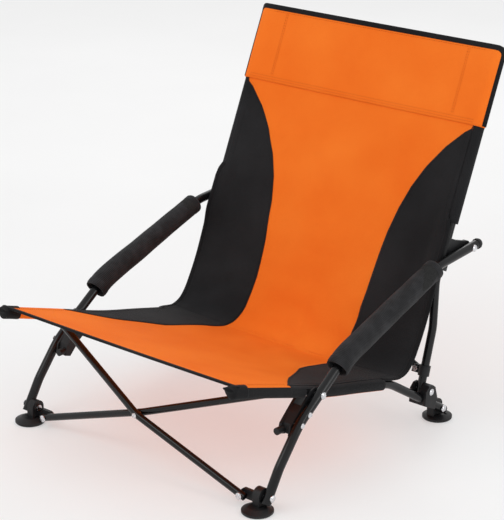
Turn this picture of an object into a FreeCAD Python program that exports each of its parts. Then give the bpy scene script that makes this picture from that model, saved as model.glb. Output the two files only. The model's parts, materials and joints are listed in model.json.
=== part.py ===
"""Folding low camp chair: a tube frame that folds, and a fabric sling.

Frame: +Z up, the chair faces -Y, +X is the sitter's left. The origin is on the floor, under the
middle of the chair's box. All lengths are in millimetres.
"""
import FreeCAD, Part
from Sketcher import Constraint
import math
import os

Vector = FreeCAD.Vector
SIDES = (("left", 1), ("right", -1))

SIZES = {
    # distance from the front feet to the middle of the chair's depth
    "middle_y": 293.27,
    # tubes: outer radius and bore radius
    "leg_radius": 8.0, "leg_bore": 6.8,
    "rail_radius": 7.3, "rail_bore": 6.2,
    "post_radius": 7.2, "post_bore": 6.1,
    "front_brace_radius": 6.2, "front_brace_bore": 5.2,
    "back_brace_radius": 5.5, "back_brace_bore": 4.6,
    # planes of the side frames
    "leg_x": 273.0, "rail_x": 254.0, "rail_end_x": 272.0, "post_x": 254.0,
    # armrest padding
    "arm_cover_radius": 19.5, "arm_cover_bore": 17.7, "arm_foam_radius": 17.5, "arm_foam_bore": 8.2,
    "arm_foam_recess": 9.0, "arm_bend": 160.0,
    # feet
    "foot_radius": 26.0, "foot_x": 260.0, "rear_foot_y": 477.0, "foot_rim": 5.0, "foot_top": 9.5,
    "foot_crown_radius": 15.0, "hub_thickness": 14.0, "hub_width": 26.0, "hub_height": 38.0,
    "hub_gap": 0.3, "foot_bolt_reach": 12.0,
    # fasteners
    "bolt_radius": 3.0, "bolt_head_radius": 6.0, "bolt_head_height": 3.2, "nut_radius": 5.2,
    "small_bolt_radius": 2.5, "rivet_radius": 2.4, "rivet_head_radius": 4.6, "rivet_head_height": 1.8,
    "fixed_clearance": 0.05, "running_clearance": 0.1, "nut_clearance": 0.3,
    "rivet_slack": 0.3, "bend_slack": 1.6,
    # pivots, as y and z
    "rail_pivot_y": 134.0, "rail_pivot_z": 159.5,
    "post_pivot_y": 434.0, "post_pivot_z": 66.0,
    "arm_pin_y": 540.0, "arm_pin_z": 299.2,
    # front scissor: foot pivots, crossing and upper ends
    "brace_foot_x": 224.0, "brace_foot_y": 3.0, "brace_foot_z": 17.0,
    "brace_cross_y": 6.0, "brace_cross_z": 90.0, "brace_cross_offset": 6.8,
    "brace_top_x": 230.0, "brace_top_y": 64.0, "brace_top_z": 170.0, "brace_end_stub": 7.0,
    # back scissor: lower pivots on the post clamps, upper pivots on the collars
    "back_pivot_x": 237.0, "back_foot_y": 458.0, "back_foot_z": 92.0,
    "back_top_y": 500.0, "back_top_z": 285.0, "back_cross_offset": 5.9, "back_end_stub": 4.5,
    "ear_thickness": 6.0, "ear_height": 14.0, "ear_tip": 7.0, "clamp_radius": 10.0, "clamp_height": 18.0,
    # how far the right side and the collars travel as the chair folds
    "side_travel": 384.0, "collar_travel": 312.0,
    # sliding collar and its lug
    "collar_radius": 13.0, "collar_bore": 7.5, "collar_foot_z": 272.0, "collar_length": 56.0,
    "lug_thickness": 8.0, "lug_radius": 10.0,
    # straight upper stretch of the back post
    "post_top_y": 632.0, "post_top_z": 626.0, "post_lean": 66.2,
    # sling
    "sleeve_radius": 9.2, "sleeve_bore": 7.6, "panel_thickness": 4.0, "seat_half_width": 244.0,
    "back_half_width": 258.0, "head_half_width": 246.0, "head_seam_z": 500.0, "panel_offset": 10.6,
}

doc = FreeCAD.newDocument("camp_chair")
sheet = doc.addObject("Spreadsheet::Sheet", "sizes")
for row, (alias, value) in enumerate(SIZES.items(), start=1):
    sheet.set("A%d" % row, alias)
    sheet.set("B%d" % row, str(value))
    sheet.setAlias("B%d" % row, alias)
doc.recompute()

nodes = {}


def size(alias):
    """One driving dimension from the sheet."""
    return float(sheet.get(alias))


def at(x, y, z):
    """A point given with y counted from the front feet, moved into the chair's own frame."""
    return Vector(x, y - size("middle_y"), z)


def keep(label, thing):
    """Name a finished sub-part; its label names its file."""
    thing.Label = label
    nodes[label] = thing
    return thing


def new(kind, name, **links):
    """A document object with its properties set."""
    thing = doc.addObject(kind, name)
    for key, value in links.items():
        setattr(thing, key, value)
    return thing


def bind(thing, prop, expression):
    thing.setExpression(prop, expression)
    return thing


def turn_to(direction):
    """The rotation that takes +Z to the given direction."""
    return FreeCAD.Rotation(Vector(0, 0, 1), direction)


# --- outlines and paths ----------------------------------------------------------------------

def rounded_wire(points, radii):
    """Straight runs through the points, joined by tangent arcs of the given radii."""
    edges = []
    start = points[0]
    for before, corner, after, radius in zip(points, points[1:], points[2:], radii):
        back = (before - corner).normalize()
        ahead = (after - corner).normalize()
        half = back.getAngle(ahead) / 2
        reach = radius / math.tan(half)
        middle = (back + ahead).normalize()
        centre = corner + middle * (radius / math.sin(half))
        enter = corner + back * reach
        leave = corner + ahead * reach
        edges.append(Part.LineSegment(start, enter).toShape())
        edges.append(Part.Arc(enter, centre - middle * radius, leave).toShape())
        start = leave
    edges.append(Part.LineSegment(start, points[-1]).toShape())
    return Part.Wire(edges)


def path_object(name, points, radii):
    return new("Part::Feature", name, Shape=rounded_wire(points, radii))


def swept(name, path, radius):
    """A round bar along the path, its radius bound to a cell."""
    edges = path.Shape.Edges
    first = edges[0]
    start = first.valueAt(first.FirstParameter)
    heading = first.tangentAt(first.FirstParameter)
    section = new("Part::Circle", name + "_section")
    section.Placement = FreeCAD.Placement(start, turn_to(heading))
    bind(section, "Radius", "sizes." + radius)
    bar = new("Part::Sweep", name, Sections=[section], Solid=True, Frenet=False)
    bar.Spine = (path, ["Edge%d" % (i + 1) for i in range(len(edges))])
    return bar


def cylinder(name, start, end, radius):
    """A round bar from start to end; radius is a cell or a sum of cells."""
    bar = new("Part::Cylinder", name)
    bar.Height = (end - start).Length
    bar.Placement = FreeCAD.Placement(start, turn_to(end - start))
    bind(bar, "Radius", radius)
    return bar


def box(name, low, high):
    block = new("Part::Box", name)
    block.Length = abs(high.x - low.x)
    block.Width = abs(high.y - low.y)
    block.Height = abs(high.z - low.z)
    corner = Vector(min(low.x, high.x), min(low.y, high.y), min(low.z, high.z))
    block.Placement = FreeCAD.Placement(corner, FreeCAD.Rotation())
    return block


def fused(name, shapes):
    return new("Part::MultiFuse", name, Shapes=shapes)


def cut(name, base, tools):
    tool = tools[0] if len(tools) == 1 else fused(name + "_tools", tools)
    return new("Part::Cut", name, Base=base, Tool=tool)


def sum_of(*aliases):
    return " + ".join("sizes." + alias for alias in aliases)


def plate(name, points, x_low, x_high):
    """A flat plate with the outline given as (y, z) points, between two x planes."""
    outline = [at(x_low, y, z) for y, z in points]
    face = new("Part::Feature", name + "_outline", Shape=Part.makePolygon(outline + outline[:1]))
    slab = new("Part::Extrusion", name, Base=face, Solid=True)
    slab.DirMode = "Custom"
    slab.Dir = Vector(1, 0, 0)
    slab.LengthFwd = x_high - x_low
    return slab


def turned_body(name, outline):
    """A PartDesign body turned about its Z axis from (radius, height) pairs of cells or numbers."""
    body = doc.addObject("PartDesign::Body", name)
    sketch = body.newObject("Sketcher::SketchObject", name + "_outline")
    plane = [f for f in body.Origin.OriginFeatures if f.Role == "XZ_Plane"][0]
    sketch.AttachmentSupport = [(plane, "")]
    sketch.MapMode = "FlatFace"
    places = [tuple(size(v) if isinstance(v, str) else float(v) for v in pair) for pair in outline]
    count = len(places)
    for i, (r, z) in enumerate(places):
        r2, z2 = places[(i + 1) % count]
        sketch.addGeometry(Part.LineSegment(Vector(r, z, 0), Vector(r2, z2, 0)), False)
    for i in range(count):
        sketch.addConstraint(Constraint("Coincident", i, 2, (i + 1) % count, 1))
    for i, pair in enumerate(outline):
        for kind, axis, value, place in zip(("DistanceX", "DistanceY"), (-2, -1), pair, places[i]):
            if place == 0:
                sketch.addConstraint(Constraint("PointOnObject", i, 1, axis))
                continue
            index = sketch.addConstraint(Constraint(kind, -1, 1, i, 1, place))
            if isinstance(value, str):
                sketch.setExpression("Constraints[%d]" % index, "sizes." + value)
    turn = body.newObject("PartDesign::Revolution", name + "_turn")
    turn.Profile = sketch
    turn.ReferenceAxis = (sketch, ["V_Axis"])
    turn.Angle = 360
    return body


def placed(thing, position, heading=Vector(0, 0, 1)):
    """Stand a part made about its own Z axis at a position, with Z along the heading."""
    thing.Placement = FreeCAD.Placement(position, turn_to(heading))
    return thing


def bolt(label, head_end, nut_end, radius="small_bolt_radius", head="bolt_head_radius"):
    """A bolt with a domed head at one end and a nut at the other, as one solid."""
    along = (nut_end - head_end).normalize()
    rise = size("bolt_head_height")
    shaft = cylinder(label + "_shaft", head_end, nut_end, sum_of(radius))
    dome = turned_body(label + "_head", [(0, 0), (head, 0), (head, rise * 0.4),
                                         (size(head) * 0.62, rise * 0.85), (0, rise)])
    placed(dome, head_end, along * -1)
    nut = cylinder(label + "_nut", nut_end, nut_end + along * rise, sum_of("nut_radius"))
    return keep(label, fused(label, [shaft, dome, nut]))


def rivet_head(label, position, heading):
    """A low button head that stands on a position and points along the heading."""
    edge = size("rivet_head_radius") * 0.7
    head = turned_body(label, [(0, 0), ("rivet_head_radius", 0), (edge, "rivet_head_height"),
                               (0, "rivet_head_height")])
    return placed(head, position, heading)


def hole(name, start, end, aliases):
    return cylinder(name, start, end, sum_of(*aliases))


def tube(label, points, radii, outer, bore, holes=()):
    """A bent tube: an outer bar less its bore and any cross holes."""
    path = path_object(label + "_path", points, radii)
    wall = swept(label + "_wall", path, outer)
    hollow = swept(label + "_bore", path, bore)
    return keep(label, cut(label, wall, [hollow, *holes]))


# --- where things are ------------------------------------------------------------------------

lean = math.radians(size("post_lean"))
POST_UP = Vector(0, math.cos(lean), math.sin(lean))
POST_FRONT = Vector(0, -math.sin(lean), math.cos(lean))


def post_point(side, z, front=0.0, x=None):
    """A point on the post's straight upper stretch at a height, moved towards the sitter."""
    along = (z - size("post_top_z")) / math.sin(lean)
    base = at(side * size("post_x") if x is None else x, size("post_top_y"), size("post_top_z"))
    return base + POST_UP * along + POST_FRONT * front


LEG_LINE = ((5, 15), (36, 66), (84, 124.2), (200, 206), (446, 291.5), (556, 300.5))
LEG_BENDS = (90, 120, 160, 120)
ARM_LINE = ((178, 190.5), (200, 206), (436, 288))
RAIL_LINE = ((-48, 218), (170, 148), (343, 105))
RAIL_END = (479, 18)
RAIL_BENDS = (180, 95)
POST_FOOT_LINE = ((431.9, 59), (464, 170))
POST_KNEE = (467.9, 254)
POST_BENDS = (70, 45)


def leg_points(side):
    return [at(side * size("leg_x"), y, z) for y, z in LEG_LINE]


def rail_points(side):
    straight = [at(side * size("rail_x"), y, z) for y, z in RAIL_LINE]
    return straight + [at(side * size("rail_end_x"), *RAIL_END)]


def post_points(side):
    low = [at(side * size("post_x"), y, z) for y, z in (*POST_FOOT_LINE, POST_KNEE)]
    return low + [post_point(side, size("post_top_z"))]


def back_from(points, distance):
    """A point on the first run, a distance along it."""
    return points[0] + (points[1] - points[0]).normalize() * distance


def across(point, x_from, x_to):
    """Two points at the same y and z, on two x planes."""
    return Vector(x_from, point.y, point.z), Vector(x_to, point.y, point.z)


def back_pivots(side):
    """Where a back brace starts and ends, on the middle plane between the two braces."""
    return (at(side * size("back_pivot_x"), size("back_foot_y"), size("back_foot_z")),
            at(-side * size("back_pivot_x"), size("back_top_y"), size("back_top_z")))


def back_turn(side):
    """The turn of a back brace about its lower end, from open to folded, as axis and angle.

    The axis is square to the brace both when the chair is open and when it is folded.
    """
    lower, upper = back_pivots(side)
    opened = upper - lower
    folded = opened + Vector(side * size("side_travel"), 0, 0) + POST_UP * size("collar_travel")
    axis = folded.cross(opened).normalize()
    if side < 0:
        axis = axis * -1
    return axis, math.copysign(opened.getAngle(folded), -side)


def back_cross_axis():
    """The axis of the crossing rivet, about which one back brace turns on the other."""
    turns = []
    for _, side in SIDES:
        axis, angle = back_turn(side)
        turns.append(FreeCAD.Rotation(axis, math.degrees(angle)))
    axis = (turns[0].inverted() * turns[1]).Axis
    return axis if axis.y < 0 else axis * -1


def back_brace_ends(side):
    """The two ends of the brace whose foot is on the given side, and its lower hinge's axis."""
    offset = back_cross_axis() * (side * size("back_cross_offset"))
    lower, upper = back_pivots(side)
    return lower + offset, upper + offset, back_turn(side)[0]


# --- one side of the chair -------------------------------------------------------------------

def make_leg(name, side):
    """Leg and armrest in one bent tube, with its padding, end cap and fasteners."""
    leg_x = size("leg_x")
    points = leg_points(side)
    foot_bolt = back_from(points, size("foot_bolt_reach"))
    rail_pivot = at(0, size("rail_pivot_y"), size("rail_pivot_z"))
    arm_pin = at(0, size("arm_pin_y"), size("arm_pin_z"))
    rivets = [at(0, 84, 124.2), at(0, 102, 137)]
    inner, outer = side * (leg_x - 12), side * (leg_x + 12)
    holes = []
    for word, centre in (("foot", foot_bolt), ("rail", rail_pivot), ("arm", arm_pin)):
        holes.append(hole("leg_%s_hole_%s" % (word, name), *across(centre, inner, outer),
                          ("bolt_radius", "fixed_clearance")))
    for number, centre in enumerate(rivets):
        holes.append(hole("leg_rivet_hole_%s_%d" % (name, number), *across(centre, inner, outer),
                          ("rivet_radius", "fixed_clearance")))
    tube("leg_arm_tube_" + name, points, LEG_BENDS, "leg_radius", "leg_bore", holes)

    bolt("rail_pivot_pin_" + name, *across(rail_pivot, side * (leg_x + 8), side * 240.4), "bolt_radius")
    headed_pin("arm_pin_" + name, *across(arm_pin, side * (leg_x + 8), side * (leg_x - 8)))

    shafts = []
    for number, centre in enumerate(rivets):
        tag = "rivet_%s_%d" % (name, number)
        start, end = across(centre, side * (leg_x + 8), side * 244)
        head = rivet_head(tag + "_head", start, Vector(side, 0, 0))
        shafts.append(fused(tag, [cylinder(tag + "_shaft", start, end, sum_of("rivet_radius")), head]))
    keep("bracket_rivets_" + name, new("Part::Compound", "bracket_rivets_" + name, Links=shafts))
    make_rail_bracket(name, side, rail_pivot, rivets)
    make_arm_padding(name, side)

    end = points[-1]
    heading = (points[-1] - points[-2]).normalize()
    cap = turned_body("arm_end_cap_" + name,
                      [(0, 0), ("leg_radius", 0), (9.4, 1), (9.4, 5), (7.5, 9), (0, 10)])
    keep("arm_end_cap_" + name, placed(cap, end, heading))


def headed_pin(label, start, end):
    """A pin with a domed head at its start and a plain end."""
    rise = size("bolt_head_height")
    dome = turned_body(label + "_head", [(0, 0), ("bolt_head_radius", 0), ("bolt_head_radius", rise * 0.4),
                                         (4, rise * 0.85), (0, rise)])
    placed(dome, start, (start - end).normalize())
    return keep(label, fused(label, [cylinder(label + "_shaft", start, end, sum_of("bolt_radius")), dome]))


def make_rail_bracket(name, side, rail_pivot, rivets):
    """The plastic bracket riveted inside the leg; its cheek holds the rail's pivot."""
    cheek_outline = ((70, 106), (82, 102), (106, 126), (142, 150), (145, 160), (134, 169.5), (124, 167),
                     (100, 146), (74, 122))
    block_outline = ((74, 108), (84, 105), (109, 130), (113, 141), (104, 147), (92, 139), (78, 124))
    low, high = sorted_x(side, 241, 246.2)
    plate_cheek = plate("bracket_cheek_" + name, cheek_outline, low, high)
    face = size("leg_x") - size("leg_radius") - 0.4
    low, high = sorted_x(side, 261.7, face)
    outer_cheek = plate("bracket_outer_" + name, cheek_outline, low, high)
    low, high = sorted_x(side, 241, face)
    plate_block = plate("bracket_block_" + name, block_outline, low, high)
    stub = cylinder("bracket_stub_" + name, at(side * 247, 60, 113), at(side * 247, 82, 113), "6")
    solid = fused("bracket_solid_" + name, [plate_cheek, outer_cheek, plate_block, stub])
    holes = [hole("bracket_pin_hole_" + name, *across(rail_pivot, side * 238, side * 268),
                  ("bolt_radius", "fixed_clearance"))]
    for number, centre in enumerate(rivets):
        start, end = across(centre, side * 243.9, side * 268)
        holes.append(hole("bracket_rivet_hole_%s_%d" % (name, number), start, end,
                          ("rivet_radius", "fixed_clearance")))
    keep("rail_bracket_" + name, cut("rail_bracket_" + name, solid, holes))


def sorted_x(side, inner, outer):
    """Two x planes in rising order, for a part between them on the given side."""
    return (inner, outer) if side > 0 else (-outer, -inner)


def make_arm_padding(name, side):
    """A foam sleeve round the armrest, in a fabric cover that overhangs it at both ends."""
    points = [at(side * size("leg_x"), y, z) for y, z in ARM_LINE]
    path = path_object("arm_padding_path_" + name, points, (size("arm_bend"),))
    cover = cut("arm_cover_" + name, swept("arm_cover_wall_" + name, path, "arm_cover_radius"),
                [swept("arm_cover_bore_" + name, path, "arm_cover_bore")])
    keep("arm_cover_" + name, cover)
    tools = [swept("arm_foam_bore_" + name, path, "arm_foam_bore")]
    for word, end, inward in (("low", points[0], points[1]), ("high", points[2], points[1])):
        heading = (inward - end).normalize()
        tools.append(cylinder("arm_foam_trim_%s_%s" % (word, name), end - heading,
                              end + heading * size("arm_foam_recess"), sum_of("arm_cover_radius")))
    foam = cut("arm_foam_" + name, swept("arm_foam_wall_" + name, path, "arm_foam_radius"), tools)
    keep("arm_foam_" + name, foam)


def hub_faces(side):
    """The inner and outer x planes of a foot's hub; the tube it is bolted to lies outside it."""
    outer = size("leg_x") - size("leg_radius") - size("hub_gap")
    return side * (outer - size("hub_thickness")), side * outer


def foot_parts(label, side, y, hub_low_y, bolt_point):
    """The disc and upright hub of a non-slip foot, and the hole for its bolt."""
    disc = turned_body(label + "_disc", [(0, 0), (size("foot_radius") - 1.5, 0), ("foot_radius", 1.5),
                                         ("foot_radius", "foot_rim"), ("foot_crown_radius", "foot_top"),
                                         (0, "foot_top")])
    placed(disc, at(side * size("foot_x"), y, 0))
    inner, outer = hub_faces(side)
    width = size("hub_width")
    crown_z = size("hub_height") - width / 2
    hub = box(label + "_hub", at(inner, hub_low_y, 6), at(outer, hub_low_y + width, crown_z))
    crown = cylinder(label + "_crown", *across(at(0, hub_low_y + width / 2, crown_z), inner, outer),
                     "sizes.hub_width / 2")
    bolt_hole = hole(label + "_bolt_hole", *across(bolt_point, inner - side * 2, outer + side * 2),
                     ("bolt_radius", "fixed_clearance"))
    return [disc, hub, crown], [bolt_hole]


def make_front_foot(name, side):
    """A front foot: its tab stands forward to hold a front brace, and has room for the bolt's nut."""
    label = "front_foot_" + name
    inner, outer = hub_faces(side)
    bolt_point = back_from(leg_points(side), size("foot_bolt_reach"))
    solids, holes = foot_parts(label, side, 0.0, -2.0, bolt_point)
    x, y, z = size("brace_foot_x"), size("brace_foot_y"), size("brace_foot_z")
    low, high = y + 7.4, y + 13.4
    solids.append(box(label + "_tab", at(side * (x - 1), low, 8.5), at(outer, high, z + 8.5)))
    solids.append(cylinder(label + "_tab_end", at(side * x, low, z), at(side * x, high, z), "8.5"))
    holes.append(hole(label + "_tab_hole", at(side * x, low - 1, z), at(side * x, high + 1, z),
                      ("small_bolt_radius", "fixed_clearance")))
    holes.append(hole(label + "_nut_room", *across(bolt_point, inner - side * 9, inner),
                      ("nut_radius", "nut_clearance")))
    keep(label, cut(label, fused(label + "_solid", solids), holes))
    bolt("front_foot_bolt_" + name, *across(bolt_point, side * (size("leg_x") + size("leg_radius")), inner),
         "bolt_radius")


def make_rear_foot(name, side):
    """A rear foot: the seat rail's end lies in a groove in its hub."""
    label = "rear_foot_" + name
    inner, _ = hub_faces(side)
    end, before = rail_points(side)[:-3:-1]
    up = (before - end).normalize()
    bolt_point = end + up * size("foot_bolt_reach")
    solids, holes = foot_parts(label, side, size("rear_foot_y"), 459, bolt_point)
    holes.append(cylinder(label + "_groove", end - up * 9, end + up * 40,
                          sum_of("rail_radius", "running_clearance")))
    keep(label, cut(label, fused(label + "_solid", solids), holes))
    head_face = bolt_point.x + side * (size("rail_radius") + 0.8)
    bolt("rear_foot_bolt_" + name, *across(bolt_point, head_face, inner), "bolt_radius")
    return bolt_point


def make_rail(name, side):
    """The seat rail, from the seat's front corner down to the rear foot."""
    points = rail_points(side)
    rail_pivot = at(0, size("rail_pivot_y"), size("rail_pivot_z"))
    foot_bolt = make_rear_foot(name, side)
    x = size("rail_x")
    holes = [
        hole("rail_pivot_hole_" + name, *across(rail_pivot, side * (x - 12), side * (x + 12)),
             ("bolt_radius", "running_clearance")),
        hole("rail_foot_hole_" + name, *across(foot_bolt, side * (x + 4), side * (x + 30)),
             ("bolt_radius", "fixed_clearance")),
    ]
    tube("seat_rail_" + name, points, RAIL_BENDS, "rail_radius", "rail_bore", holes)
    cap = turned_body("rail_front_cap_" + name,
                      [(0, 0), ("rail_radius", 0), (8.2, 0.8), (8.2, 4), (6, 7), (0, 8)])
    keep("rail_front_cap_" + name, placed(cap, points[0], (points[0] - points[1]).normalize()))
    sleeve_line = [back_from(points, 3), points[1], points[2] + (points[1] - points[2]).normalize() * 30]
    path = path_object("rail_sleeve_path_" + name, sleeve_line, (RAIL_BENDS[0],))
    sleeve = cut("rail_sleeve_" + name, swept("rail_sleeve_wall_" + name, path, "sleeve_radius"),
                 [swept("rail_sleeve_bore_" + name, path, "sleeve_bore"),
                  pivot_room("sleeve_gap_" + name, side, "14")])
    keep("rail_sleeve_" + name, sleeve)


def pivot_room(label, side, radius):
    """The opening that the sling leaves round a rail's pivot."""
    pivot = at(side * size("rail_x"), size("rail_pivot_y"), size("rail_pivot_z"))
    first, second = (at(0, y, z) for y, z in RAIL_LINE[:2])
    ahead = (second - first).normalize() * 20
    return cylinder(label, pivot - ahead, pivot + ahead, radius)


def make_post_bracket(name, side):
    """The fork clipped round the rail that holds the back post's foot."""
    rail = rail_points(side)
    pivot = at(0, size("post_pivot_y"), size("post_pivot_z"))
    slot_half = size("post_radius") + 0.5
    inner_face = size("post_x") - slot_half - 4.6
    low, high = sorted_x(side, inner_face, 276.5)
    outline = ((418, 44), (446, 30), (452, 52), (446, 72), (438, 78), (429, 78), (420, 70))
    block = plate("post_bracket_block_" + name, outline, low, high)
    towards = (rail[3] - rail[2]).normalize()
    clip = cylinder("post_bracket_clip_" + name, rail[2] + towards * 70, rail[2] + towards * 150,
                    sum_of("rail_radius", "fixed_clearance"))
    slot_low, slot_high = sorted_x(side, size("post_x") - slot_half, size("post_x") + slot_half)
    outline = ((405, 57.5), (425, 55.2), (442, 55.2), (465, 57.5), (465, 90), (405, 90))
    slot = plate("post_bracket_slot_" + name, outline, slot_low, slot_high)
    pin = hole("post_bracket_hole_" + name, *across(pivot, side * 235, side * 280),
               ("bolt_radius", "fixed_clearance"))
    keep("post_bracket_" + name, cut("post_bracket_" + name, block, [clip, slot, pin]))
    bolt("post_pivot_pin_" + name, *across(pivot, side * 276.5, side * inner_face), "bolt_radius")


def make_post(name, side):
    """The back post with its top cap, the clamp for the back scissor and the sling's pocket."""
    points = post_points(side)
    pivot = at(0, size("post_pivot_y"), size("post_pivot_z"))
    inner, outer = side * (size("post_x") - 12), side * (size("post_x") + 12)
    holes = [hole("post_pivot_hole_" + name, *across(pivot, inner, outer),
                  ("bolt_radius", "running_clearance"))]
    tube("back_post_" + name, points, POST_BENDS, "post_radius", "post_bore", holes)
    cap = turned_body("post_top_cap_" + name,
                      [(0, 0), ("post_radius", 0), ("post_radius", 2), (5.5, 4), (0, 5)])
    keep("post_top_cap_" + name, placed(cap, points[-1], POST_UP))
    pocket_top = post_point(side, size("post_top_z")) + POST_UP * 6.5
    pocket_end = pocket_top - POST_UP * 1.2
    foot = post_point(side, size("head_seam_z"))
    outer = cylinder("head_pocket_wall_" + name, foot, pocket_top, sum_of("sleeve_radius"))
    inner = cylinder("head_pocket_bore_" + name, foot - POST_UP * 2, pocket_end, sum_of("sleeve_bore"))
    keep("head_pocket_" + name, cut("head_pocket_" + name, outer, [inner]))


def ear(name, centre, root_x, axis):
    """A flat ear, square to the axis of the pivot it holds, that reaches inwards from the post."""
    outward = Vector(math.copysign(1, root_x), 0, 0)
    long_way = (outward - axis * outward.dot(axis)).normalize()
    block = new("Part::Box", "ear_" + name)
    block.Length = size("ear_tip") + abs(root_x - centre.x)
    bind(block, "Width", "sizes.ear_thickness")
    bind(block, "Height", "sizes.ear_height")
    turn = FreeCAD.Rotation(long_way, axis, long_way.cross(axis), "XYZ")
    corner = Vector(-size("ear_tip"), -size("ear_thickness") / 2, -size("ear_height") / 2)
    block.Placement = FreeCAD.Placement(centre + turn.multVec(corner), turn)
    return block


def make_brace_clamp(name, side):
    """The clamp on the post's foot, with an ear for the back scissor, and its bolt."""
    start, end = post_points(side)[:2]
    up = (end - start).normalize()
    brace_end, _, axis = back_brace_ends(side)
    slope = up.y / up.z
    reach = (brace_end.y - start.y - (brace_end.z - start.z) * slope) / (axis.z * slope - axis.y)
    pivot = brace_end + axis * reach
    centre = start + up * ((pivot.z - start.z) / up.z)
    half = up * (size("clamp_height") / 2)
    ring = cylinder("clamp_ring_" + name, centre - half, centre + half, sum_of("clamp_radius"))
    bore = cylinder("clamp_bore_" + name, centre - up * 12, centre + up * 12,
                    sum_of("post_radius", "fixed_clearance"))
    pin = hole("clamp_hole_" + name, pivot - axis * 12, pivot + axis * 12,
               ("small_bolt_radius", "fixed_clearance"))
    solid = fused("clamp_solid_" + name, [ring, ear("clamp_" + name, pivot, side * size("post_x"), axis)])
    keep("brace_clamp_" + name, cut("brace_clamp_" + name, solid, [bore, pin]))
    face = pivot + axis * (size("ear_thickness") / 2 + 0.1)
    brace_half = size("back_brace_radius")
    if side > 0:
        bolt("back_brace_bolt_" + name, brace_end - axis * (brace_half + 0.3), face)
    else:
        bolt("back_brace_bolt_" + name, face, brace_end + axis * (brace_half + 4.3))


def make_collar(name, side):
    """The collar that slides on the back post, with a lug that reaches the arm's end."""
    foot = post_point(side, size("collar_foot_z"))
    top = foot + POST_UP * size("collar_length")
    barrel = cylinder("collar_barrel_" + name, foot, top, sum_of("collar_radius"))
    lug_outer = size("leg_x") - size("leg_radius") - 0.6
    pin = at(0, size("arm_pin_y"), size("arm_pin_z"))
    root = post_point(side, 300)
    lug_centre = across(pin, side * (lug_outer - size("lug_thickness")), side * lug_outer)
    lug_end = cylinder("collar_lug_end_" + name, *lug_centre, sum_of("lug_radius"))
    low, high = sorted_x(side, lug_outer - size("lug_thickness"), lug_outer)
    middle = size("middle_y")
    gusset = plate("collar_gusset_" + name,
                   ((root.y + middle - 6, 281), (root.y + middle + 6, 281), (size("arm_pin_y") + 3, 289.7),
                    (size("arm_pin_y") - 2, 309), (root.y + middle + 14, 320), (root.y + middle + 2, 316)),
                   low, high)
    bore = cylinder("collar_bore_" + name, foot - POST_UP * 3, top + POST_UP * 3, sum_of("collar_bore"))
    _, brace_end, axis = back_brace_ends(-side)
    ear_centre = brace_end + axis * (size("back_brace_radius") + 5.6)
    holder = ear("collar_" + name, ear_centre, side * size("post_x"), axis)
    pin_hole = hole("collar_ear_hole_" + name, ear_centre - axis * 9, ear_centre + axis * 5,
                    ("small_bolt_radius", "running_clearance"))
    flat = box("collar_flat_" + name, post_point(side, 340, 40, side * lug_outer),
               post_point(side, 262, -40, side * (lug_outer + 20)))
    solid = fused("collar_solid_" + name, [barrel, lug_end, gusset, holder])
    keep("slide_collar_" + name, cut("slide_collar_" + name, solid, [bore, pin_hole, flat]))


# --- the two scissors ------------------------------------------------------------------------

def make_front_scissor():
    """Two bent braces that cross in front; the one from the left foot passes in front."""
    cross = at(0, size("brace_cross_y"), size("brace_cross_z"))
    for name, side, step in (("a", 1, -1), ("b", -1, 1)):
        offset = Vector(0, step * size("brace_cross_offset"), 0)
        foot = at(side * size("brace_foot_x"), size("brace_foot_y"), size("brace_foot_z"))
        top = at(-side * size("brace_top_x"), size("brace_top_y"), size("brace_top_z")) + offset
        knee = cross + offset
        start = foot + (foot - knee).normalize() * size("brace_end_stub")
        holes = [
            hole("brace_foot_hole_" + name, foot - Vector(0, 9, 0), foot + Vector(0, 9, 0),
                 ("small_bolt_radius", "running_clearance")),
            hole("brace_cross_hole_" + name, knee - Vector(0, 9, 0), knee + Vector(0, 9, 0),
                 ("rivet_radius", "running_clearance")),
        ]
        label = "front_brace_" + name
        tube(label, [start, knee, top], (40,), "front_brace_radius", "front_brace_bore", holes)
        cap = turned_body(label + "_cap",
                          [(0, 0), ("front_brace_radius", 0), (6.8, 0.6), (6.8, 4), (4.8, 6.5), (0, 7)])
        keep(label + "_cap", placed(cap, top, (top - knee).normalize()))
        word = "left" if side > 0 else "right"
        bolt("front_brace_bolt_" + word, foot - Vector(0, 6.6, 0), foot + Vector(0, 13.4, 0))
    reach = size("brace_cross_offset") + size("front_brace_radius")
    rivet("front_brace_rivet", cross, Vector(0, 1, 0), reach, size("bend_slack"))


def rivet(label, centre, along, reach, slack):
    """A rivet with a head at each end, through a scissor's crossing; slack is the room at its end."""
    start, end = centre - along * (reach + size("rivet_slack")), centre + along * (reach + slack)
    shaft = cylinder(label + "_shaft", start, end, sum_of("rivet_radius"))
    heads = [rivet_head(label + "_head_a", start, along * -1), rivet_head(label + "_head_b", end, along)]
    keep(label, fused(label, [shaft, *heads]))


def make_back_scissor():
    """Two straight braces that cross behind the sling, from the post clamps to the collars."""
    cross_axis = back_cross_axis()
    for name, side in (("a", 1), ("b", -1)):
        low, high, axis = back_brace_ends(side)
        along = (high - low).normalize()
        middle = (low + high) / 2
        holes = [
            hole("back_foot_hole_" + name, low - axis * 9, low + axis * 9,
                 ("small_bolt_radius", "running_clearance")),
            hole("back_cross_hole_" + name, middle - cross_axis * 9, middle + cross_axis * 9,
                 ("rivet_radius", "running_clearance")),
        ]
        label = "back_brace_" + name
        stub = size("back_end_stub")
        wall = cylinder(label + "_wall", low - along * stub, high + along * stub,
                        sum_of("back_brace_radius"))
        bore = cylinder(label + "_bore", low - along * (stub + 2), high + along * (stub + 2),
                        sum_of("back_brace_bore"))
        keep(label, cut(label, wall, [bore, *holes]))
    lower, upper = back_pivots(1)
    reach = size("back_cross_offset") + size("back_brace_radius")
    rivet("back_brace_rivet", (lower + upper) / 2, cross_axis, reach, size("rivet_slack"))


# --- the sling -------------------------------------------------------------------------------

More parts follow.
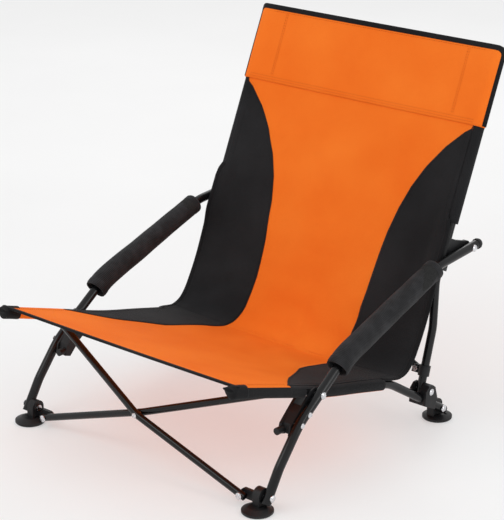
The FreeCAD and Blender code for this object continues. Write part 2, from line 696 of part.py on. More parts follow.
def slab(label, line, half_width, gaps=()):
    """A panel of even thickness whose middle follows the line of (y, z) pairs, less its gaps."""
    half = size("panel_thickness") / 2
    centre = [Vector(0, y, z) for y, z in line]
    upper, lower = [], []
    for i, point in enumerate(centre):
        ahead = centre[min(i + 1, len(centre) - 1)] - centre[max(i - 1, 0)]
        normal = Vector(0, -ahead.z, ahead.y).normalize()
        upper.append(point + normal * half)
        lower.append(point - normal * half)
    outline = [(p.y, p.z) for p in upper + lower[::-1]]
    if not gaps:
        return keep(label, plate(label, outline, -half_width, half_width))
    whole = plate(label + "_whole", outline, -half_width, half_width)
    return keep(label, cut(label, whole, list(gaps)))


def collar_room(name, side):
    """The opening that the sling leaves round a sliding collar."""
    foot = post_point(side, size("collar_foot_z")) - POST_UP * 4
    return cylinder("collar_room_" + name, foot, foot + POST_UP * (size("collar_length") + 8),
                    "sizes.collar_radius + 0.6")


def make_sling():
    """Seat, back and head panels; the seat and back leave room for the pivots and the collars."""
    middle = size("middle_y")
    offset = size("panel_offset")
    first, second = RAIL_LINE[:2]
    seat_line = [(first[0] + 4, first[1] + 3.2), (second[0], second[1] + 4.5), (352, 110)]
    seat_gaps = [pivot_room("seat_gap_" + name, side, "18") for name, side in SIDES]
    slab("seat_panel", seat_line, size("seat_half_width"), seat_gaps)
    seam = post_point(1, size("head_seam_z"), offset)
    low = post_point(1, 350, offset)
    top = post_point(1, size("post_top_z") + 4, offset)
    back_line = [(360, 118), (395, 130), (428, 192), (446, 232), (468, 290),
                 (low.y + middle, low.z), (seam.y + middle, seam.z)]
    back_gaps = [collar_room(name, side) for name, side in SIDES]
    slab("back_panel", back_line, size("back_half_width"), back_gaps)
    head_line = [(seam.y + middle + 0.2, seam.z + 0.5), (top.y + middle, top.z)]
    slab("head_panel", head_line, size("head_half_width"))


def check_document():
    """Stop if any object failed, or if a finished sub-part isn't a valid solid."""
    for thing in doc.Objects:
        if "Invalid" in thing.State or "Error" in thing.State:
            raise RuntimeError("failed: %s %s" % (thing.Name, thing.State))
    for thing in nodes.values():
        shape = thing.Shape
        if shape.isNull() or not shape.isValid() or not shape.Solids:
            raise RuntimeError("bad shape: " + thing.Label)


for side_name, side_sign in SIDES:
    make_leg(side_name, side_sign)
    make_front_foot(side_name, side_sign)
    make_rail(side_name, side_sign)
    make_post_bracket(side_name, side_sign)
    make_post(side_name, side_sign)
    make_collar(side_name, side_sign)
    make_brace_clamp(side_name, side_sign)
make_front_scissor()
make_back_scissor()
make_sling()
doc.recompute()
check_document()

os.makedirs("parts", exist_ok=True)
for label, thing in nodes.items():
    thing.Shape.exportStep("parts/%s.step" % label)
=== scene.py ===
"""Looks for the folding camp chair: sling, bindings, stitching, armrest covers and materials."""

import json
import math

import bpy
import numpy as np
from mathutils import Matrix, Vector


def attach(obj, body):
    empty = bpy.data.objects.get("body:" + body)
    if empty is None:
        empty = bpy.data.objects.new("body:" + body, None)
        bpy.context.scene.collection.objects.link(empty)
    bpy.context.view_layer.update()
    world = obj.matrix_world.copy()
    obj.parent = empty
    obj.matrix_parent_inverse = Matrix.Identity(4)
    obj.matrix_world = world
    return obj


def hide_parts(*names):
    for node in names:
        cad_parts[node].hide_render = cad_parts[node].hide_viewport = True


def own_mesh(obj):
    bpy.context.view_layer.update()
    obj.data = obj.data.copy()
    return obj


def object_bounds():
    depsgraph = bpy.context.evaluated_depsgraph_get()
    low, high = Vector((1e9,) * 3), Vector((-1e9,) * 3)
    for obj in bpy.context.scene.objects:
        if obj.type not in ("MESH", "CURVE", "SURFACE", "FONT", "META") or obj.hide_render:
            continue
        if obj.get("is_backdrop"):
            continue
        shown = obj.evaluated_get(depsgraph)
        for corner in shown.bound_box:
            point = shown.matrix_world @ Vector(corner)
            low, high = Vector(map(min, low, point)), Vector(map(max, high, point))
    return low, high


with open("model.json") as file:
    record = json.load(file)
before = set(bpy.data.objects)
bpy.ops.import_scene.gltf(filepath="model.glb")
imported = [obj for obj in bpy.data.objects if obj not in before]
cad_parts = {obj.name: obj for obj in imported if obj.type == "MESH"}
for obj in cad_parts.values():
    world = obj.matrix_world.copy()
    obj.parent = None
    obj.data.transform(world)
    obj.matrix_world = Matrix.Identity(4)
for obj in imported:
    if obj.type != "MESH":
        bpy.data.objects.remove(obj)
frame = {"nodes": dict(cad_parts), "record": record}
cad_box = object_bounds()
SIDES = (("left", 1), ("right", -1))

# --- driving sizes, in metres ------------------------------------------------------------------
MIDDLE_Y = 0.29327
TUBE_X = 0.254
# the sling's outline from the side, along its edge: y from the front feet, and height
EDGE_LINE = ((-0.048, 0.227), (0.06, 0.1925), (0.17, 0.157), (0.26, 0.1345), (0.345, 0.1135),
             (0.367, 0.1115), (0.384, 0.1175), (0.3985, 0.132), (0.411, 0.152), (0.4225, 0.173),
             (0.434, 0.197), (0.447, 0.229),
             (0.466, 0.278), (0.4826, 0.314), (0.5006, 0.3543), (0.5336, 0.429), (0.5667, 0.5043),
             (0.596, 0.571), (0.6235, 0.6325))
# how far the middle of the sling hangs below its edges, by distance along the sling
SAG = ((0.0, 0.001), (0.2, 0.004), (0.38, 0.006), (0.48, 0.010), (0.6, 0.017), (0.75, 0.015),
       (0.88, 0.007), (1.03, 0.001))
# half width of the orange middle, by distance along the sling
WAIST = ((0.135, 0.2515), (0.150, 0.240), (0.168, 0.2255), (0.182, 0.215), (0.192, 0.208),
         (0.205, 0.199), (0.235, 0.183), (0.260, 0.170), (0.290, 0.153), (0.335, 0.141), (0.388, 0.133),
         (0.430, 0.127), (0.470, 0.120), (0.530, 0.119), (0.600, 0.125), (0.670, 0.133), (0.715, 0.143),
         (0.755, 0.157), (0.795, 0.178), (0.835, 0.207), (0.866, 0.238), (0.886, 0.268))
# half width of the cloth, by distance along the sling: free of the tubes between rail and post
EDGE = ((0.0, 0.2515), (0.375, 0.2515), (0.400, 0.2600), (0.440, 0.2625), (0.690, 0.2625), (0.705, 0.2600),
        (0.725, 0.2515), (1.030, 0.2515))
# the head is flat this far out, then turns back round the post on a quarter oval, to a side seam
HEAD_FLAT = 0.2515
HEAD_OUT = 0.0145
HEAD_TURN = 0.0198
HEAD_EDGE = HEAD_FLAT + HEAD_TURN
RAIL_WRAP = 0.0088
POST_WRAP = 0.0104
WRAP_LOW = 0.712
LAP = 0.008
SPLIT = 0.432
SEAM = 0.886
TAPE_WIDTH = 0.0095
CLOTH = 0.0011
TAPE_THICKNESS = 0.0046
CORNER_RADIUS = 0.016
# how far pieces lie off the sling's middle layer
PANEL_LIFT = 0.0012
HEAD_LIFT = 0.0014
SEAT_THREAD_LIFT = 0.0009
PANEL_THREAD_LIFT = 0.0021
HEAD_THREAD_LIFT = 0.0023
# how far inside the cloth's edge the middle of its binding runs
TAPE_INSET = 0.0030
# the black panels' stitch line runs this far outside the waist
PANEL_STITCH = 0.004
# the cloth passes over the sliding collar between these distances along the sling
COLLAR_RISE = 0.0038
COLLAR_START = (0.595, 0.63)
COLLAR_STOP = (0.70, 0.735)
# the seat's sleeves end here, with a gap below where the rail is hinged to the leg
SLEEVE_START = 0.004
SLEEVE_END = 0.388
HINGE_GAP = (0.172, 0.214)
POCKET_SLACK = 0.0008


# --- the sling as one surface -------------------------------------------------------------------

def smooth_line(points, steps=24):
    """A curve through the points (Catmull-Rom)."""
    p = np.array(points, float)
    p = np.vstack([2 * p[0] - p[1], p, 2 * p[-1] - p[-2]])
    out = []
    for a, b, c, d in zip(p, p[1:], p[2:], p[3:]):
        for t in np.linspace(0, 1, steps, endpoint=False):
            out.append(0.5 * (2 * b + (c - a) * t + (2 * a - 5 * b + 4 * c - d) * t * t
                              + (3 * b - 3 * c + d - a) * t ** 3))
    out.append(p[-2])
    return np.array(out)


LINE = smooth_line(EDGE_LINE)
ARC = np.concatenate([[0], np.cumsum(np.linalg.norm(np.diff(LINE, axis=0), axis=1))])
END = float(ARC[-1])


def on_line(s):
    """The edge line at a distance along it; it goes on straight past both ends."""
    s = np.asarray(s, float)
    inside = np.clip(s, 0, END)
    place = np.stack([np.interp(inside, ARC, LINE[:, 0]), np.interp(inside, ARC, LINE[:, 1])], -1)
    first, last = (LINE[1] - LINE[0]) / ARC[1], (LINE[-1] - LINE[-2]) / (ARC[-1] - ARC[-2])
    return place + np.minimum(s, 0)[..., None] * first + np.maximum(s - END, 0)[..., None] * last


def line_normal(s):
    """The way the sling's face looks at a distance along the edge line."""
    ahead = on_line(s + 0.006) - on_line(s - 0.006)
    ahead = ahead / np.linalg.norm(ahead, axis=-1, keepdims=True)
    return np.stack([-ahead[..., 1], ahead[..., 0]], -1)


def soft_step(x, low, high):
    k = np.clip((x - low) / (high - low), 0, 1)
    return k * k * (3 - 2 * k)


def creases(t, s):
    """Shallow creases where the cloth turns up into the back, and long soft waves on the back."""
    lumbar = np.exp(-((s - 0.47) / 0.07) ** 2) * np.cos(t * 18 + 0.6)
    fine = np.sin((s + 0.35 * np.abs(t)) * 110 + 4 * np.sin(t * 9))
    waves = np.sin(t * 37 - s * 24 + 1.5 * np.sin(s * 19)) * soft_step(s, 0.48, 0.6)
    waves = waves * (1 - soft_step(s, 0.8, 0.89))
    pull = np.sin((s * 0.8 + t) * 55 + np.sin(t * 23)) * np.exp(-((s - 0.34) / 0.12) ** 2)
    head = np.sin(t * 48 + s * 9) * soft_step(s, 0.89, 0.93) * (1 - soft_step(s, 0.99, 1.02))
    held = 1 - (np.clip(np.abs(t) / TUBE_X, 0, 1)) ** 4
    return held * (0.0018 * lumbar * fine + 0.0017 * waves + 0.0011 * pull + 0.0006 * head)


def over_collar(t, s):
    """The cloth's edge rides up where it passes over the sliding collar."""
    near_post = soft_step(np.abs(t), 0.222, 0.243)
    return COLLAR_RISE * near_post * soft_step(s, *COLLAR_START) * (1 - soft_step(s, *COLLAR_STOP))


def surface(t, s, lift=0.0):
    """Points of the sling: t across from its middle, s along it from the front, lift off its face."""
    t, s = np.broadcast_arrays(np.asarray(t, float), np.asarray(s, float))
    share = np.clip(np.abs(t) / TUBE_X, 0, 1)
    height = lift - np.interp(s, *zip(*SAG)) * (1 - share ** 2) + creases(t, s) + over_collar(t, s)
    flat = on_line(s) + line_normal(s) * height[..., None]
    return np.stack([t, flat[..., 0] - MIDDLE_Y, flat[..., 1]], -1)


def head_shape(t, s, lift=0.0):
    """The sling's surface at the head, whose sides turn back round the posts."""
    t, s = np.broadcast_arrays(np.asarray(t, float), np.asarray(s, float))
    past = np.maximum(np.abs(t) - HEAD_FLAT, 0) / HEAD_TURN * math.pi / 2
    inner = surface(np.clip(t, -HEAD_FLAT, HEAD_FLAT), s, lift)
    back = (POST_WRAP + lift) * (np.cos(past) - 1)
    normal = line_normal(s)
    out = np.sign(t) * (HEAD_OUT + lift) * np.sin(past)
    return inner + np.stack([out, normal[..., 0] * back, normal[..., 1] * back], -1)


def round_tube(side, radius, flare=0.0):
    """A shape function for cloth that wraps a rail or post: t is the turn round it, from its front.

    With a flare the cloth stands off the tube's outer side, to meet a seam out there.
    """
    def shape(turn, s, lift=0.0):
        turn, s = np.broadcast_arrays(np.asarray(turn, float), np.asarray(s, float))
        reach = radius + lift + flare * (1 - soft_step(turn, math.pi / 2, 2.6))
        height = reach * np.cos(turn) - radius
        flat = on_line(s) + line_normal(s) * height[..., None]
        return np.stack([side * (TUBE_X + reach * np.sin(turn)), flat[..., 0] - MIDDLE_Y, flat[..., 1]], -1)
    return shape


def edge(s):
    return np.interp(s, *zip(*EDGE))


def waist(s):
    return np.interp(s, *zip(*WAIST))


def top_edge(t):
    """Where the sling ends along its length: its two top corners are rounded."""
    over = np.clip(np.abs(t) - (HEAD_EDGE - CORNER_RADIUS), 0, CORNER_RADIUS)
    return END - (CORNER_RADIUS - np.sqrt(CORNER_RADIUS ** 2 - over ** 2 + 1e-12))


# --- mesh making --------------------------------------------------------------------------------

def make_mesh(name, points, faces, uvs, material, smooth=True):
    mesh = bpy.data.meshes.new(name)
    mesh.from_pydata([tuple(p) for p in points], [], faces)
    layer = mesh.uv_layers.new(name="cloth")
    for loop in mesh.loops:
        layer.data[loop.index].uv = uvs[loop.vertex_index]
    mesh.polygons.foreach_set("use_smooth", [smooth] * len(mesh.polygons))
    mesh.materials.append(material)
    mesh.validate()
    mesh.update()
    piece = bpy.data.objects.new(name, mesh)
    bpy.context.scene.collection.objects.link(piece)
    return piece


def layered(name, t, s, material, thickness=CLOTH, lift=0.0, shape=surface):
    """A closed thin layer of cloth over a grid of (t, s) places on the sling."""
    rows, columns = t.shape
    upper = shape(t, s, lift + thickness / 2).reshape(-1, 3)
    lower = shape(t, s, lift - thickness / 2).reshape(-1, 3)
    count = rows * columns
    faces = []

    def at(i, j):
        return i * columns + j

    for i in range(rows - 1):
        for j in range(columns - 1):
            a, b, c, d = at(i, j), at(i, j + 1), at(i + 1, j + 1), at(i + 1, j)
            faces.append((a, b, c, d))
            faces.append((a + count, d + count, c + count, b + count))
    rim = [at(0, j) for j in range(columns)] + [at(i, columns - 1) for i in range(1, rows)]
    rim += [at(rows - 1, j) for j in range(columns - 2, -1, -1)] + [at(i, 0) for i in range(rows - 2, 0, -1)]
    for a, b in zip(rim, rim[1:] + rim[:1]):
        faces.append((b, a, a + count, b + count))
    uvs = [(u, v) for u, v in zip(t.ravel(), s.ravel())] * 2
    return make_mesh(name, np.vstack([upper, lower]), faces, uvs, material)


def grid(low, high, s_low, s_high, columns, rows):
    """A grid whose t runs from low(s) to high(s) and whose s runs between two values or functions of t."""
    k = np.linspace(0, 1, columns)[None, :]
    m = np.linspace(0, 1, rows)[:, None]
    if callable(s_high):
        t = low + (high - low) * k + 0 * m
        return t, s_low + (s_high(t) - s_low) * m
    s = s_low + (s_high - s_low) * m + 0 * k
    left = low(s) if callable(low) else low
    right = high(s) if callable(high) else high
    return left + (right - left) * k + 0 * m, s


def strip(name, t_line, s_line, width, material, thickness, lift=0.0, shape=surface, steps=14):
    """A folded binding tape along a line of (t, s) places: an oval section that takes in the cloth's edge."""
    t_line, s_line = np.asarray(t_line, float), np.asarray(s_line, float)
    dt, ds = np.gradient(t_line), np.gradient(s_line)
    run = np.hypot(dt, ds)
    side_t, side_s = -ds / run, dt / run
    turn = np.linspace(0, 2 * math.pi, steps, endpoint=False)
    rings = []
    for angle in turn:
        k = 0.5 * width * np.sign(math.cos(angle)) * abs(math.cos(angle)) ** 0.7
        high = 0.5 * thickness * np.sign(math.sin(angle)) * abs(math.sin(angle)) ** 0.8
        rings.append(shape(t_line + side_t * k, s_line + side_s * k, lift + high))
    points = np.stack(rings, 1).reshape(-1, 3)
    rows = t_line.size
    faces = []
    for i in range(rows - 1):
        for j in range(steps):
            a, b = i * steps + j, i * steps + (j + 1) % steps
            faces.append((a, b, b + steps, a + steps))
    faces.append(tuple(range(steps))[::-1])
    faces.append(tuple(range((rows - 1) * steps, rows * steps)))
    along = np.concatenate([[0], np.cumsum(run[1:])])
    uvs = [(float(a) * width / 2, float(w)) for w in along for a in turn]
    return make_mesh(name, points, faces, uvs, material)


def dashes(name, lines, material, lift, length=0.0032, gap=0.0018, width=0.0007):
    """Stitches: small rounded bars laid along lines of (t, s) places."""
    points, faces, uvs = [], [], []
    for t_line, s_line in lines:
        t_line, s_line = np.asarray(t_line, float), np.asarray(s_line, float)
        run = np.concatenate([[0], np.cumsum(np.hypot(np.diff(t_line), np.diff(s_line)))])
        for start in np.arange(0.002, run[-1] - length, length + gap):
            ends = np.array([start, start + length / 2, start + length])
            t, s = np.interp(ends, run, t_line), np.interp(ends, run, s_line)
            way = np.array([t[2] - t[0], s[2] - s[0]])
            way = way / max(np.linalg.norm(way), 1e-9) * width / 2
            base = len(points)
            for u, v, high, wide in zip(t, s, (0.2, 1.0, 0.2), (0.5, 1.0, 0.5)):
                for k, rise in ((-1, 0.0), (0, 1.0), (1, 0.0)):
                    spot = surface(u - way[1] * k * wide, v + way[0] * k * wide,
                                   lift + 0.00035 * rise * high)
                    points.append(spot)
                    uvs.append((float(u), float(v)))
                points.append(surface(u, v, lift - 0.0003))
                uvs.append((float(u), float(v)))
            for row in (0, 4):
                for k in range(4):
                    a, b = base + row + k, base + row + (k + 1) % 4
                    faces.append((a, b, b + 4, a + 4))
            faces.append((base + 3, base + 2, base + 1, base))
            faces.append((base + 8, base + 9, base + 10, base + 11))
    return make_mesh(name, points, faces, uvs, material)


# --- materials ----------------------------------------------------------------------------------

class Nodes:
    """A material under construction, with short ways to add and join nodes."""

    def __init__(self, name, roughness, metallic=0.0, sheen=0.0, specular=0.5, coat=0.0):
        self.material = bpy.data.materials.new(name)
        self.material.use_nodes = True
        self.tree = self.material.node_tree
        self.shader = self.tree.nodes["Principled BSDF"]
        self.shader.inputs["Roughness"].default_value = roughness
        self.shader.inputs["Metallic"].default_value = metallic
        self.shader.inputs["Sheen Weight"].default_value = sheen
        self.shader.inputs["Specular IOR Level"].default_value = specular
        self.shader.inputs["Coat Weight"].default_value = coat

    def add(self, kind, **inputs):
        node = self.tree.nodes.new(kind)
        for key, value in inputs.items():
            node.inputs[key.replace("_", " ")].default_value = value
        return node

    def join(self, source, target):
        self.tree.links.new(source, target)

    def math(self, operation, a, b):
        node = self.tree.nodes.new("ShaderNodeMath")
        node.operation = operation
        for slot, value in enumerate((a, b)):
            if isinstance(value, (int, float)):
                node.inputs[slot].default_value = value
            else:
                self.join(value, node.inputs[slot])
        return node.outputs[0]

    def noise(self, scale, detail=3.0, vector=None):
        node = self.add("ShaderNodeTexNoise", Scale=scale, Detail=detail)
        self.join(vector or self.place(), node.inputs["Vector"])
        return node.outputs["Fac"]

    def place(self):
        return self.add("ShaderNodeTexCoord").outputs["Object"]

    def uv(self):
        node = self.tree.nodes.new("ShaderNodeUVMap")
        node.uv_map = "cloth"
        return node.outputs["UV"]

    def ramp(self, value, *stops):
        node = self.tree.nodes.new("ShaderNodeValToRGB")
        while len(node.color_ramp.elements) < len(stops):
            node.color_ramp.elements.new(0.5)
        for element, (where, colour) in zip(node.color_ramp.elements, stops):
            element.position = where
            element.color = (*colour, 1)
        self.join(value, node.inputs["Fac"])
        return node.outputs["Color"]

    def bump(self, height, strength, distance):
        node = self.add("ShaderNodeBump", Strength=strength, Distance=distance)
        self.join(height, node.inputs["Height"])
        self.join(node.outputs["Normal"], self.shader.inputs["Normal"])

    def wave(self, vector, pitch, axis):
        split = self.tree.nodes.new("ShaderNodeSeparateXYZ")
        self.join(vector, split.inputs[0])
        turns = self.math("MULTIPLY", split.outputs[axis], 2 * math.pi / pitch)
        return self.math("SINE", turns, 0.0)


def woven(name, dark, light, pitch=0.0011, sheen=0.0, roughness=0.85):
    """Plain woven polyester: fine over-and-under threads, slubs and a soft change of tone."""
    m = Nodes(name, roughness, sheen=sheen, specular=0.12)
    uv = m.uv()
    warp, weft = m.wave(uv, pitch, "X"), m.wave(uv, pitch, "Y")
    weave = m.math("MULTIPLY", warp, weft)
    slub = m.noise(900.0, 2.0)
    broad = m.noise(7.0, 4.0)
    tone = m.math("ADD", m.math("MULTIPLY", broad, 0.55), m.math("MULTIPLY", weave, 0.10))
    tone = m.math("ADD", tone, m.math("MULTIPLY", slub, 0.30))
    m.join(m.ramp(tone, (0.30, dark), (0.62, light)), m.shader.inputs["Base Color"])
    m.bump(m.math("ADD", weave, m.math("MULTIPLY", slub, 1.2)), 0.35, 0.0004)
    return m.material


def ribbed(name):
    """The armrest cover's fabric: fine ribs across its length."""
    m = Nodes(name, 0.8, sheen=0.05, specular=0.2)
    uv = m.uv()
    rib = m.wave(uv, 0.0026, "Y")
    thread = m.wave(uv, 0.0016, "X")
    height = m.math("ADD", rib, m.math("MULTIPLY", thread, 0.3))
    tone = m.math("ADD", m.math("MULTIPLY", height, 0.22), m.noise(60.0, 3.0))
    m.join(m.ramp(tone, (0.3, (0.010, 0.010, 0.011)), (0.8, (0.032, 0.032, 0.035))),
           m.shader.inputs["Base Color"])
    m.bump(height, 0.55, 0.0006)
    return m.material


def coated_tube():
    """Gloss black powder coat with faint orange peel and rubbed spots."""
    m = Nodes("black_tube", 0.22, specular=0.32)
    rub = m.noise(14.0, 6.0)
    m.join(m.ramp(rub, (0.45, (0.0035, 0.0035, 0.004)), (0.72, (0.009, 0.009, 0.010))),
           m.shader.inputs["Base Color"])
    rough = m.math("ADD", m.math("MULTIPLY", m.noise(35.0, 5.0), 0.16), 0.14)
    m.join(rough, m.shader.inputs["Roughness"])
    m.bump(m.noise(700.0, 1.0), 0.06, 0.0003)
    return m.material


def moulded():
    """Moulded black nylon with a fine grain."""
    m = Nodes("black_plastic", 0.5, specular=0.28)
    grain = m.noise(1600.0, 2.0)
    m.join(m.ramp(m.noise(22.0, 4.0), (0.35, (0.007, 0.007, 0.008)), (0.75, (0.017, 0.017, 0.018))),
           m.shader.inputs["Base Color"])
    m.join(m.math("ADD", m.math("MULTIPLY", m.noise(90.0, 3.0), 0.2), 0.38), m.shader.inputs["Roughness"])
    m.bump(grain, 0.18, 0.0003)
    return m.material


def plated():
    """Bright plated steel with small scratches."""
    m = Nodes("bright_steel", 0.25, metallic=1.0)
    scratch = m.noise(420.0, 6.0)
    m.join(m.ramp(scratch, (0.35, (0.55, 0.55, 0.57)), (0.7, (0.86, 0.86, 0.88))),
           m.shader.inputs["Base Color"])
    m.join(m.math("ADD", m.math("MULTIPLY", scratch, 0.3), 0.12), m.shader.inputs["Roughness"])
    m.bump(scratch, 0.1, 0.0002)
    return m.material


def foam():
    m = Nodes("foam", 0.95, specular=0.1)
    cells = m.add("ShaderNodeTexVoronoi", Scale=700.0)
    m.join(m.place(), cells.inputs["Vector"])
    m.join(m.ramp(cells.outputs["Distance"], (0.0, (0.008, 0.008, 0.008)), (0.6, (0.03, 0.03, 0.03))),
           m.shader.inputs["Base Color"])
    m.bump(cells.outputs["Distance"], 0.5, 0.0008)
    return m.material


ORANGE = woven("orange_cloth", (0.90, 0.162, 0.012), (1.0, 0.232, 0.024))
BLACK = woven("black_cloth", (0.009, 0.009, 0.010), (0.026, 0.026, 0.028), sheen=0.04)
TAPE_BLACK = woven("black_tape", (0.006, 0.006, 0.007), (0.018, 0.018, 0.019), pitch=0.0016, sheen=0.04)
THREAD_ORANGE = woven("orange_thread", (0.50, 0.085, 0.008), (0.70, 0.14, 0.015), pitch=0.0008)
THREAD_BLACK = woven("black_thread", (0.016, 0.016, 0.017), (0.045, 0.045, 0.048), pitch=0.0008)
RIBBED = ribbed("ribbed_cover")
FRAME_MATERIALS = {"black_tube": coated_tube(), "black_plastic": moulded(), "bright_steel": plated(),
                   "foam": foam()}
FRAME_MATERIALS["black_bolt"] = FRAME_MATERIALS["bright_steel"]


def dress_frame():
    """Give every kept CAD node the material of its slot."""
    for entry in frame["record"]["subparts"]:
        node = frame["nodes"][entry["node"]]
        material = FRAME_MATERIALS.get(entry["material_slot"])
        if material is None:
            continue
        node.data.materials.clear()
        node.data.materials.append(material)


# --- sling pieces -------------------------------------------------------------------------------

def with_seat(piece):
    """Seat cloth rides on the left rail."""
    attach(piece, "rail_left")
    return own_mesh(piece)


def with_back(piece):
    """Back cloth rides on the left post."""
    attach(piece, "post_left")
    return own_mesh(piece)


def waist_line(side, s_low, s_high, inset=0.0, count=90):
    s = np.linspace(s_low, s_high, count)
    return side * (waist(s) + inset), s


def side_panel(name, side, s_low, s_high, rows):
    """A black panel between the orange middle and the cloth's edge; it lies on the sling's face."""
    s = np.linspace(s_low, s_high, rows)[:, None]
    k = np.linspace(0, 1, 30)[None, :]
    inner = np.minimum(waist(s), edge(s) - 0.0005)
    t = side * (inner + (edge(s) - inner) * k)
    if side < 0:
        t = t[:, ::-1]
    return layered(name, t, s + 0 * k, BLACK, CLOTH, PANEL_LIFT)


def edge_tape(name, side, s_low, s_high, count):
    s = np.linspace(s_low, s_high, count)
    tape = strip(name, side * (edge(s) - TAPE_INSET), s, TAPE_WIDTH, TAPE_BLACK, TAPE_THICKNESS, 0.0004)
    return tape


def finish_cloth(cloth, extras, move):
    for piece in [cloth, *extras]:
        move(piece)


def make_seat():
    t, s = grid(lambda s: -edge(s), edge, 0.0, SPLIT, 121, 90)
    cloth = layered("seat_cloth", t, s, ORANGE)
    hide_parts("seat_panel")
    front_t = np.linspace(-0.262, 0.262, 90)
    front = strip("seat_front_tape", front_t, np.full(90, 0.0025), TAPE_WIDTH, TAPE_BLACK, TAPE_THICKNESS)
    extras = [front]
    hem_t = np.linspace(-0.25, 0.25, 90)
    orange_lines = [(hem_t, np.full(90, 0.0105))]
    black_lines = []
    first = WAIST[0][0]
    for name, side in SIDES:
        extras.append(side_panel("seat_side_" + name, side, first, SPLIT, 70))
        extras.append(edge_tape("seat_edge_tape_" + name, side, 0.386, SPLIT, 20))
        black_lines.append(waist_line(side, first + 0.006, SPLIT, PANEL_STITCH))
        orange_lines.append((np.full(50, side * 0.2435), np.linspace(0.012, first + 0.006, 50)))
        black_lines.append((np.full(80, side * 0.2435), np.linspace(first + 0.022, SPLIT, 80)))
    stitches = dashes("seat_stitches", orange_lines, THREAD_ORANGE, SEAT_THREAD_LIFT)
    extras.append(stitches)
    side_stitches = dashes("seat_side_stitches", black_lines, THREAD_BLACK, PANEL_THREAD_LIFT)
    extras.append(side_stitches)
    finish_cloth(cloth, extras, with_seat)


def make_back():
    low = SPLIT - 0.006

    def half(s):
        return np.minimum(waist(s) + LAP, edge(s))

    t, s = grid(lambda s: -half(s), half, low, SEAM, 121, 130)
    cloth = layered("back_cloth", t, s, ORANGE)
    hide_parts("back_panel")
    extras = []
    sides = []
    lines = []
    for name, side in SIDES:
        sides.append(side_panel("back_side_" + name, side, low, SEAM - 0.001, 120))
        extras.append(edge_tape("back_edge_tape_" + name, side, low, WRAP_LOW + 0.004, 80))
        lines.append(waist_line(side, SPLIT, 0.868, PANEL_STITCH))
        s_line = np.linspace(SPLIT, 0.87, 120)
        lines.append((side * (edge(s_line) - 0.0110), s_line))
    stitches = dashes("back_side_stitches", lines, THREAD_BLACK, PANEL_THREAD_LIFT)
    extras.append(stitches)
    rows = np.linspace(low, SEAM, 200)
    area = float(2 * np.trapz(half(rows), rows))
    finish_cloth(cloth, extras, with_back)
    for piece in sides:
        with_back(piece)
        width = edge(rows) - np.minimum(waist(rows), edge(rows))


def make_head():
    t, s = grid(-HEAD_EDGE, HEAD_EDGE, SEAM - 0.006, top_edge, 121, 40)
    cloth = layered("head_cloth", t, s, ORANGE, CLOTH, HEAD_LIFT, head_shape)
    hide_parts("head_panel", "head_pocket_left", "head_pocket_right")
    # the tape runs up one side, round both corners and down the other side
    turn = np.linspace(0, math.pi / 2, 12)
    radius = CORNER_RADIUS - TAPE_INSET
    low = np.linspace(SEAM - 0.004, END - CORNER_RADIUS, 40)[:-1]
    corner_t = HEAD_EDGE - CORNER_RADIUS + radius * np.cos(turn)
    corner_s = END - CORNER_RADIUS + radius * np.sin(turn)
    across = np.linspace(HEAD_EDGE - CORNER_RADIUS, -(HEAD_EDGE - CORNER_RADIUS), 60)[1:-1]
    t_line = np.concatenate([np.full(low.size, HEAD_EDGE - TAPE_INSET), corner_t, across,
                             -corner_t[::-1], np.full(low.size, TAPE_INSET - HEAD_EDGE)])
    s_line = np.concatenate([low, corner_s, np.full(across.size, END - TAPE_INSET), corner_s[::-1],
                             low[::-1]])
    tape = strip("head_tape", t_line, s_line, TAPE_WIDTH, TAPE_BLACK, TAPE_THICKNESS, HEAD_LIFT,
                 head_shape)
    extras = [tape]
    lines = []
    for shift in (-0.001, 0.0035):
        lines.append((np.linspace(-0.252, 0.252, 120), np.full(120, SEAM + shift)))
    for _, side in SIDES:
        for place in (0.200, 0.2035):
            lines.append((np.full(50, side * place), np.linspace(SEAM + 0.006, END - 0.011, 50)))
    lines.append((np.linspace(-0.236, 0.236, 110), np.full(110, END - 0.0105)))
    stitches = dashes("head_stitches", lines, THREAD_ORANGE, HEAD_THREAD_LIFT)
    extras.append(stitches)
    finish_cloth(cloth, extras, with_back)


def with_post(piece, name):
    """Cloth round a post rides on it."""
    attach(piece, "post_" + name)
    top = on_line(END)
    up = on_line(END) - on_line(END - 0.1)
    up = up / np.linalg.norm(up)
    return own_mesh(piece)


def wrap(name, side, s_range, degrees, material, radius, rows=50, thickness=CLOTH, lift=0.0,
         flare=0.0):
    """Cloth round a rail or post over a stretch of it and between two turns, in degrees."""
    s = np.linspace(*s_range, rows)[:, None]
    turn = np.radians(np.linspace(*degrees, 34))[None, :]
    turn, s = np.broadcast_arrays(turn, s)
    if side < 0:
        turn = turn[:, ::-1]
    return layered(name, turn.copy(), s.copy(), material, thickness, lift,
                   round_tube(side, radius, flare))


def wrap_area(s_range, degrees, radius):
    return (radius * math.radians(abs(degrees[1] - degrees[0])), s_range[1] - s_range[0])


def make_post_sleeves():
    """The back cloth's sleeve round each post, black below the head seam and orange above it."""
    for name, side in SIDES:
        low, round_it = (WRAP_LOW, SEAM + 0.002), (-20, 318)
        sleeve = wrap("post_sleeve_" + name, side, low, round_it, BLACK, POST_WRAP)
        with_post(sleeve, name)
        wrap_area(low, round_it, POST_WRAP)
        high, behind = (SEAM - 0.002, END - 0.009), (89, 330)
        pocket = wrap("head_pocket_cloth_" + name, side, high, behind, ORANGE, POST_WRAP + POCKET_SLACK,
                      flare=POCKET_SLACK)
        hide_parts("head_pocket_" + name)
        with_post(pocket, name)
        wrap_area(high, behind, POST_WRAP)


